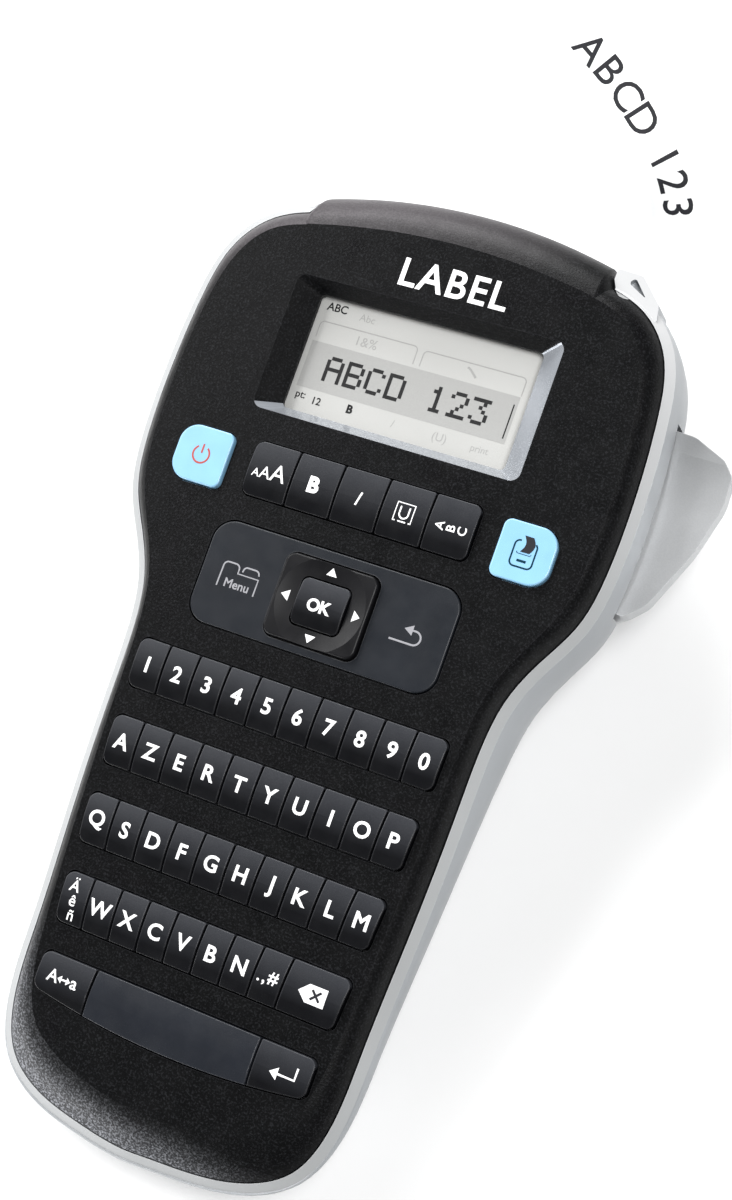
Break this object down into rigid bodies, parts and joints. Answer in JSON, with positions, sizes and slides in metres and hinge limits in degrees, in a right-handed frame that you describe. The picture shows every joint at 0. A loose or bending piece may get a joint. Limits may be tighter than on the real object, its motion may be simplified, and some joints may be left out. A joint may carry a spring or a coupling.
{
  "type": "handheld label maker",
  "caption": "Handheld label maker with a waisted dark face, silver-grey case, full keyboard, display in a deep recess, side cutting lever and a curling printed tape",
  "frame": {"origin": "middle of the flat back, between the battery cover and the cassette door, on the plane that the machine rests on", "axes": "+Y runs from the foot towards the display end where the tape comes out, +X to the side with the cutting lever, +Z out of the flat back; the keyboard face is tipped 9 degrees so that it faces +Z and slightly -Y"},
  "size_m": [0.1257, 0.2674, 0.0548],
  "materials": {
    "case_shell": "satin silver-grey moulding",
    "cover_dark": "finely grained near-black moulding",
    "key_dark": "smooth charcoal",
    "key_blue": "smooth pale blue",
    "nav_plastic": "smooth slate grey",
    "lever_plastic": "satin silver-grey",
    "window_clear": "clear window",
    "lcd": "light grey liquid-crystal panel",
    "board": "green laminate",
    "mat_rubber": "soft moulded keypad",
    "cassette_plastic": "smooth dark grey",
    "tape_film": "white laminated film",
    "head_ceramic": "thermal head",
    "motor_can": "plain can",
    "cell_can": "wrapped cells",
    "contact_metal": "sprung plate",
    "steel": "bright steel",
    "roller_rubber": "rubber roller on its shaft",
    "gear_plastic": "natural nylon"
  },
  "bodies": {
    "case": {"rear_case": "case_shell", "front_cover": "cover_dark", "display_window": "window_clear", "lcd_panel": "lcd", "circuit_board": "board", "keypad_mat": "mat_rubber", "lever_pin": "steel", "tape_cassette": "cassette_plastic", "label_tape": "tape_film", "print_head": "head_ceramic", "drive_motor": "motor_can", "battery_cells": "cell_can", "battery_contacts": "contact_metal", "case_screws": "steel", "hinge_wires": "steel"},
    "cassette_door": {"cassette_door": "case_shell"},
    "battery_cover": {"battery_cover": "case_shell"},
    "cutter_lever": {"cutter_lever": "lever_plastic"},
    "cutter_blade": {"cutter_blade": "steel"},
    "platen_roller": {"platen_roller": "roller_rubber"},
    "idler_gear": {"idler_gear": "gear_plastic"},
    "motor_pinion": {"motor_pinion": "gear_plastic"},
    "nav_plate": {"nav_plate": "nav_plastic"},
    "direction_ring": {"direction_ring": "key_dark"},
    "key_1": {"key_1": "key_dark"},
    "key_2": {"key_2": "key_dark"},
    "key_3": {"key_3": "key_dark"},
    "key_4": {"key_4": "key_dark"},
    "key_5": {"key_5": "key_dark"},
    "key_6": {"key_6": "key_dark"},
    "key_7": {"key_7": "key_dark"},
    "key_8": {"key_8": "key_dark"},
    "key_9": {"key_9": "key_dark"},
    "key_0": {"key_0": "key_dark"},
    "key_a": {"key_a": "key_dark"},
    "key_z": {"key_z": "key_dark"},
    "key_e": {"key_e": "key_dark"},
    "key_r": {"key_r": "key_dark"},
    "key_t": {"key_t": "key_dark"},
    "key_y": {"key_y": "key_dark"},
    "key_u": {"key_u": "key_dark"},
    "key_i": {"key_i": "key_dark"},
    "key_o": {"key_o": "key_dark"},
    "key_p": {"key_p": "key_dark"},
    "keys_home_row": {"keys_home_row": "key_dark"},
    "key_accent": {"key_accent": "key_dark"},
    "keys_low_row": {"keys_low_row": "key_dark"},
    "key_symbol": {"key_symbol": "key_dark"},
    "key_backspace": {"key_backspace": "key_dark"},
    "key_shift": {"key_shift": "key_dark"},
    "key_space": {"key_space": "key_dark"},
    "key_enter": {"key_enter": "key_dark"},
    "key_size": {"key_size": "key_dark"},
    "key_bold": {"key_bold": "key_dark"},
    "key_italic": {"key_italic": "key_dark"},
    "key_frame": {"key_frame": "key_dark"},
    "key_turn": {"key_turn": "key_dark"},
    "key_print": {"key_print": "key_blue"},
    "key_power": {"key_power": "key_blue"},
    "key_ok": {"key_ok": "key_dark"}
  },
  "joints": [
    {"name": "key_1_press", "type": "slide", "parent": "case", "child": "key_1", "axis": [0, 0.1564, -0.9877], "range_m": [0, 0.0008], "stiffness_N_per_m": 900},
    {"name": "key_2_press", "type": "slide", "parent": "case", "child": "key_2", "axis": [0, 0.1564, -0.9877], "range_m": [0, 0.0008], "stiffness_N_per_m": 900},
    {"name": "key_3_press", "type": "slide", "parent": "case", "child": "key_3", "axis": [0, 0.1564, -0.9877], "range_m": [0, 0.0008], "stiffness_N_per_m": 900},
    {"name": "key_4_press", "type": "slide", "parent": "case", "child": "key_4", "axis": [0, 0.1564, -0.9877], "range_m": [0, 0.0008], "stiffness_N_per_m": 900},
    {"name": "key_5_press", "type": "slide", "parent": "case", "child": "key_5", "axis": [0, 0.1564, -0.9877], "range_m": [0, 0.0008], "stiffness_N_per_m": 900},
    {"name": "key_6_press", "type": "slide", "parent": "case", "child": "key_6", "axis": [0, 0.1564, -0.9877], "range_m": [0, 0.0008], "stiffness_N_per_m": 900},
    {"name": "key_7_press", "type": "slide", "parent": "case", "child": "key_7", "axis": [0, 0.1564, -0.9877], "range_m": [0, 0.0008], "stiffness_N_per_m": 900},
    {"name": "key_8_press", "type": "slide", "parent": "case", "child": "key_8", "axis": [0, 0.1564, -0.9877], "range_m": [0, 0.0008], "stiffness_N_per_m": 900},
    {"name": "key_9_press", "type": "slide", "parent": "case", "child": "key_9", "axis": [0, 0.1564, -0.9877], "range_m": [0, 0.0008], "stiffness_N_per_m": 900},
    {"name": "key_0_press", "type": "slide", "parent": "case", "child": "key_0", "axis": [0, 0.1564, -0.9877], "range_m": [0, 0.0008], "stiffness_N_per_m": 900},
    {"name": "key_a_press", "type": "slide", "parent": "case", "child": "key_a", "axis": [0, 0.1564, -0.9877], "range_m": [0, 0.0008], "stiffness_N_per_m": 900},
    {"name": "key_z_press", "type": "slide", "parent": "case", "child": "key_z", "axis": [0, 0.1564, -0.9877], "range_m": [0, 0.0008], "stiffness_N_per_m": 900},
    {"name": "key_e_press", "type": "slide", "parent": "case", "child": "key_e", "axis": [0, 0.1564, -0.9877], "range_m": [0, 0.0008], "stiffness_N_per_m": 900},
    {"name": "key_r_press", "type": "slide", "parent": "case", "child": "key_r", "axis": [0, 0.1564, -0.9877], "range_m": [0, 0.0008], "stiffness_N_per_m": 900},
    {"name": "key_t_press", "type": "slide", "parent": "case", "child": "key_t", "axis": [0, 0.1564, -0.9877], "range_m": [0, 0.0008], "stiffness_N_per_m": 900},
    {"name": "key_y_press", "type": "slide", "parent": "case", "child": "key_y", "axis": [0, 0.1564, -0.9877], "range_m": [0, 0.0008], "stiffness_N_per_m": 900},
    {"name": "key_u_press", "type": "slide", "parent": "case", "child": "key_u", "axis": [0, 0.1564, -0.9877], "range_m": [0, 0.0008], "stiffness_N_per_m": 900},
    {"name": "key_i_press", "type": "slide", "parent": "case", "child": "key_i", "axis": [0, 0.1564, -0.9877], "range_m": [0, 0.0008], "stiffness_N_per_m": 900},
    {"name": "key_o_press", "type": "slide", "parent": "case", "child": "key_o", "axis": [0, 0.1564, -0.9877], "range_m": [0, 0.0008], "stiffness_N_per_m": 900},
    {"name": "key_p_press", "type": "slide", "parent": "case", "child": "key_p", "axis": [0, 0.1564, -0.9877], "range_m": [0, 0.0008], "stiffness_N_per_m": 900},
    {"name": "keys_home_row_press", "type": "slide", "parent": "case", "child": "keys_home_row", "axis": [0, 0.1564, -0.9877], "range_m": [0, 0.0008], "stiffness_N_per_m": 2400},
    {"name": "key_accent_press", "type": "slide", "parent": "case", "child": "key_accent", "axis": [0, 0.1564, -0.9877], "range_m": [0, 0.0008], "stiffness_N_per_m": 900},
    {"name": "keys_low_row_press", "type": "slide", "parent": "case", "child": "keys_low_row", "axis": [0, 0.1564, -0.9877], "range_m": [0, 0.0008], "stiffness_N_per_m": 2400},
    {"name": "key_symbol_press", "type": "slide", "parent": "case", "child": "key_symbol", "axis": [0, 0.1564, -0.9877], "range_m": [0, 0.0008], "stiffness_N_per_m": 900},
    {"name": "key_backspace_press", "type": "slide", "parent": "case", "child": "key_backspace", "axis": [0, 0.1564, -0.9877], "range_m": [0, 0.0008], "stiffness_N_per_m": 900},
    {"name": "key_shift_press", "type": "slide", "parent": "case", "child": "key_shift", "axis": [0, 0.1564, -0.9877], "range_m": [0, 0.0008], "stiffness_N_per_m": 900},
    {"name": "key_space_press", "type": "slide", "parent": "case", "child": "key_space", "axis": [0, 0.1564, -0.9877], "range_m": [0, 0.0008], "stiffness_N_per_m": 900},
    {"name": "key_enter_press", "type": "slide", "parent": "case", "child": "key_enter", "axis": [0, 0.1564, -0.9877], "range_m": [0, 0.0008], "stiffness_N_per_m": 900},
    {"name": "key_size_press", "type": "slide", "parent": "case", "child": "key_size", "axis": [0, 0.1564, -0.9877], "range_m": [0, 0.0008], "stiffness_N_per_m": 900},
    {"name": "key_bold_press", "type": "slide", "parent": "case", "child": "key_bold", "axis": [0, 0.1564, -0.9877], "range_m": [0, 0.0008], "stiffness_N_per_m": 900},
    {"name": "key_italic_press", "type": "slide", "parent": "case", "child": "key_italic", "axis": [0, 0.1564, -0.9877], "range_m": [0, 0.0008], "stiffness_N_per_m": 900},
    {"name": "key_frame_press", "type": "slide", "parent": "case", "child": "key_frame", "axis": [0, 0.1564, -0.9877], "range_m": [0, 0.0008], "stiffness_N_per_m": 900},
    {"name": "key_turn_press", "type": "slide", "parent": "case", "child": "key_turn", "axis": [0, 0.1564, -0.9877], "range_m": [0, 0.0008], "stiffness_N_per_m": 900},
    {"name": "key_print_press", "type": "slide", "parent": "case", "child": "key_print", "axis": [0, 0.1564, -0.9877], "range_m": [0, 0.0008], "stiffness_N_per_m": 900},
    {"name": "key_power_press", "type": "slide", "parent": "case", "child": "key_power", "axis": [0, 0.1564, -0.9877], "range_m": [0, 0.0008], "stiffness_N_per_m": 900},
    {"name": "key_ok_press", "type": "slide", "parent": "case", "child": "key_ok", "axis": [0, 0.1564, -0.9877], "range_m": [0, 0.0008], "stiffness_N_per_m": 900},
    {"name": "nav_plate_rock", "type": "hinge", "parent": "case", "child": "nav_plate", "pos_m": [0, -0.01453, 0.03968], "axis": [0, 0.9877, 0.1564], "range_deg": [-1.4, 1.4], "stiffness_Nm_per_rad": 0.5},
    {"name": "direction_ring_tilt", "type": "hinge", "parent": "case", "child": "direction_ring", "pos_m": [0, -0.01483, 0.03963], "axis": [1, 0, 0], "range_deg": [-3, 3], "stiffness_Nm_per_rad": 0.2},
    {"name": "lever_swing", "type": "hinge", "parent": "case", "child": "cutter_lever", "pos_m": [0.0513, 0.01004, 0.02585], "axis": [0, -0.1564, 0.9877], "range_deg": [0, 10], "stiffness_Nm_per_rad": 1.5},
    {"name": "blade_slide", "type": "slide", "parent": "case", "child": "cutter_blade", "axis": [-1, 0, 0], "range_m": [0, 0.0039]},
    {"name": "door_hinge", "type": "hinge", "parent": "case", "child": "cassette_door", "pos_m": [0, 0.011, 0.0009], "axis": [-1, 0, 0], "range_deg": [0, 90]},
    {"name": "battery_cover_tilt", "type": "hinge", "parent": "case", "child": "battery_cover", "pos_m": [0, -0.0106, 0], "axis": [1, 0, 0], "range_deg": [0, 25]},
    {"name": "platen_roller_spin", "type": "hinge", "parent": "case", "child": "platen_roller", "pos_m": [0.03675, 0.043, 0.0265], "axis": [0, 0, 1], "continuous": true},
    {"name": "idler_gear_spin", "type": "hinge", "parent": "case", "child": "idler_gear", "pos_m": [0.02475, 0.043, 0.0265], "axis": [0, 0, 1], "continuous": true},
    {"name": "motor_pinion_spin", "type": "hinge", "parent": "case", "child": "motor_pinion", "pos_m": [0.01595, 0.043, 0.0265], "axis": [0, 0, 1], "continuous": true}
  ],
  "couplings": [
    {"joint": "blade_slide", "follows": "lever_swing", "m_per_rad": 0.022345},
    {"joint": "idler_gear_spin", "follows": "platen_roller_spin", "ratio": -1.1429},
    {"joint": "motor_pinion_spin", "follows": "platen_roller_spin", "ratio": 2}
  ]
}
